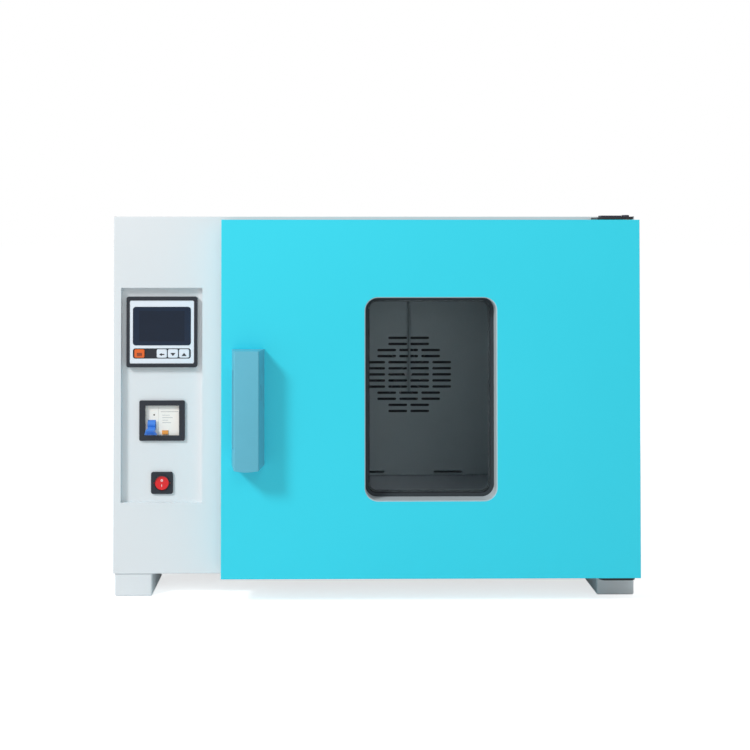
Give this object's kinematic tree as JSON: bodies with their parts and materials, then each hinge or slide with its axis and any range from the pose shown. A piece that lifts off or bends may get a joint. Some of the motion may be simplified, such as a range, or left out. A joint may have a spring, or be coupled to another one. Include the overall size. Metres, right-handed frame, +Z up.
{
  "type": "forced-air drying oven",
  "caption": "Bench-top forced-air drying oven with a windowed side-hinged door, recessed control panel, rear fan, ring heater and adjustable exhaust.",
  "frame": {"origin": "middle of the overall width and depth, on the surface under the feet", "axes": "+Z up, the door faces -Y, +X to the right as seen from the front"},
  "size_m": [0.71, 0.61, 0.5165],
  "materials": {
    "shell_paint": "satin",
    "stainless_steel": "satin",
    "plated_steel": "satin",
    "heater_steel": "matte",
    "mineral_wool": "matte",
    "door_paint": "satin",
    "handle_plastic": "satin",
    "black_steel": "satin",
    "motor_enamel": "satin",
    "cast_aluminium": "satin",
    "brass": "satin",
    "clear_glass": "polished",
    "grey_silicone": "matte",
    "black_plastic": "satin",
    "white_plastic": "satin",
    "orange_plastic": "satin",
    "blue_plastic": "satin",
    "red_plastic": "gloss",
    "smoked_lens": "gloss",
    "dark_magnet": "matte"
  },
  "bodies": {
    "cabinet": {"front_panel": "shell_paint", "outer_wrap": "shell_paint", "base_pan": "shell_paint", "rear_panel": "shell_paint", "partition_panel": "plated_steel", "feet": "shell_paint", "foot_screws": "plated_steel", "throat_frame": "black_plastic", "chamber_liner": "stainless_steel", "chamber_insulation": "mineral_wool", "air_baffle": "stainless_steel", "shelf_rail_left": "stainless_steel", "shelf_rail_right": "stainless_steel", "wire_shelf": "stainless_steel", "temperature_sensor": "stainless_steel", "fan_motor": "motor_enamel", "motor_bracket": "plated_steel", "heater_element": "heater_steel", "vent_collar": "stainless_steel", "motor_cover": "shell_paint", "cabinet_screws": "plated_steel", "cable_gland": "black_plastic", "hinge_bracket_top": "black_steel", "hinge_bracket_bottom": "black_steel", "hinge_pins": "plated_steel", "door_magnets": "dark_magnet", "control_panel": "shell_paint", "controller_bezel": "black_plastic", "controller_face": "white_plastic", "display_window": "smoked_lens", "controller_body": "black_plastic", "breaker_bezel": "black_plastic", "breaker_body": "white_plastic", "leakage_module": "white_plastic", "din_rail": "plated_steel", "rocker_housing": "black_plastic", "solid_state_relay": "black_plastic", "terminal_block": "white_plastic"},
    "door": {"door_skin": "door_paint", "door_inner_panel": "stainless_steel", "door_insulation": "mineral_wool", "window_frame": "stainless_steel", "glass_seals": "grey_silicone", "outer_glass": "clear_glass", "inner_glass": "clear_glass", "door_gasket": "grey_silicone", "door_handle": "handle_plastic", "handle_screws": "plated_steel", "hinge_bushes": "brass", "strike_plates": "plated_steel"},
    "fan": {"fan_impeller": "cast_aluminium", "fan_shaft": "plated_steel"},
    "breaker_lever": {"breaker_lever": "blue_plastic"},
    "test_button": {"test_button": "orange_plastic"},
    "power_rocker": {"power_rocker": "red_plastic"},
    "vent_damper": {"vent_damper": "black_plastic"},
    "key_set": {"key_set": "orange_plastic"},
    "key_shift": {"key_shift": "white_plastic"},
    "key_down": {"key_down": "white_plastic"},
    "key_up": {"key_up": "white_plastic"}
  },
  "joints": [
    {"name": "door_hinge", "type": "hinge", "parent": "cabinet", "child": "door", "pos_m": [0.334, -0.261, 0.273], "axis": [0, 0, 1], "range_deg": [0, 120]},
    {"name": "fan_spin", "type": "hinge", "parent": "cabinet", "child": "fan", "pos_m": [0.0725, 0.1635, 0.2575], "axis": [0, 1, 0], "continuous": true},
    {"name": "damper_turn", "type": "hinge", "parent": "cabinet", "child": "vent_damper", "pos_m": [0.2075, 0.279, 0.3855], "axis": [0, 0, 1], "range_deg": [0, 90]},
    {"name": "breaker_throw", "type": "hinge", "parent": "cabinet", "child": "breaker_lever", "pos_m": [-0.30405, -0.2169, 0.231], "axis": [-1, 0, 0], "range_deg": [0, 90]},
    {"name": "test_press", "type": "slide", "parent": "cabinet", "child": "test_button", "axis": [0, 1, 0], "range_m": [0, 0.001], "stiffness_N_per_m": 400},
    {"name": "rocker_tilt", "type": "hinge", "parent": "cabinet", "child": "power_rocker", "pos_m": [-0.28965, -0.2225, 0.1523], "axis": [1, 0, 0], "range_deg": [0, 16]},
    {"name": "key_set_press", "type": "slide", "parent": "cabinet", "child": "key_set", "axis": [0, 1, 0], "range_m": [0, 0.0006], "stiffness_N_per_m": 400},
    {"name": "key_shift_press", "type": "slide", "parent": "cabinet", "child": "key_shift", "axis": [0, 1, 0], "range_m": [0, 0.0006], "stiffness_N_per_m": 400},
    {"name": "key_down_press", "type": "slide", "parent": "cabinet", "child": "key_down", "axis": [0, 1, 0], "range_m": [0, 0.0006], "stiffness_N_per_m": 400},
    {"name": "key_up_press", "type": "slide", "parent": "cabinet", "child": "key_up", "axis": [0, 1, 0], "range_m": [0, 0.0006], "stiffness_N_per_m": 400}
  ]
}
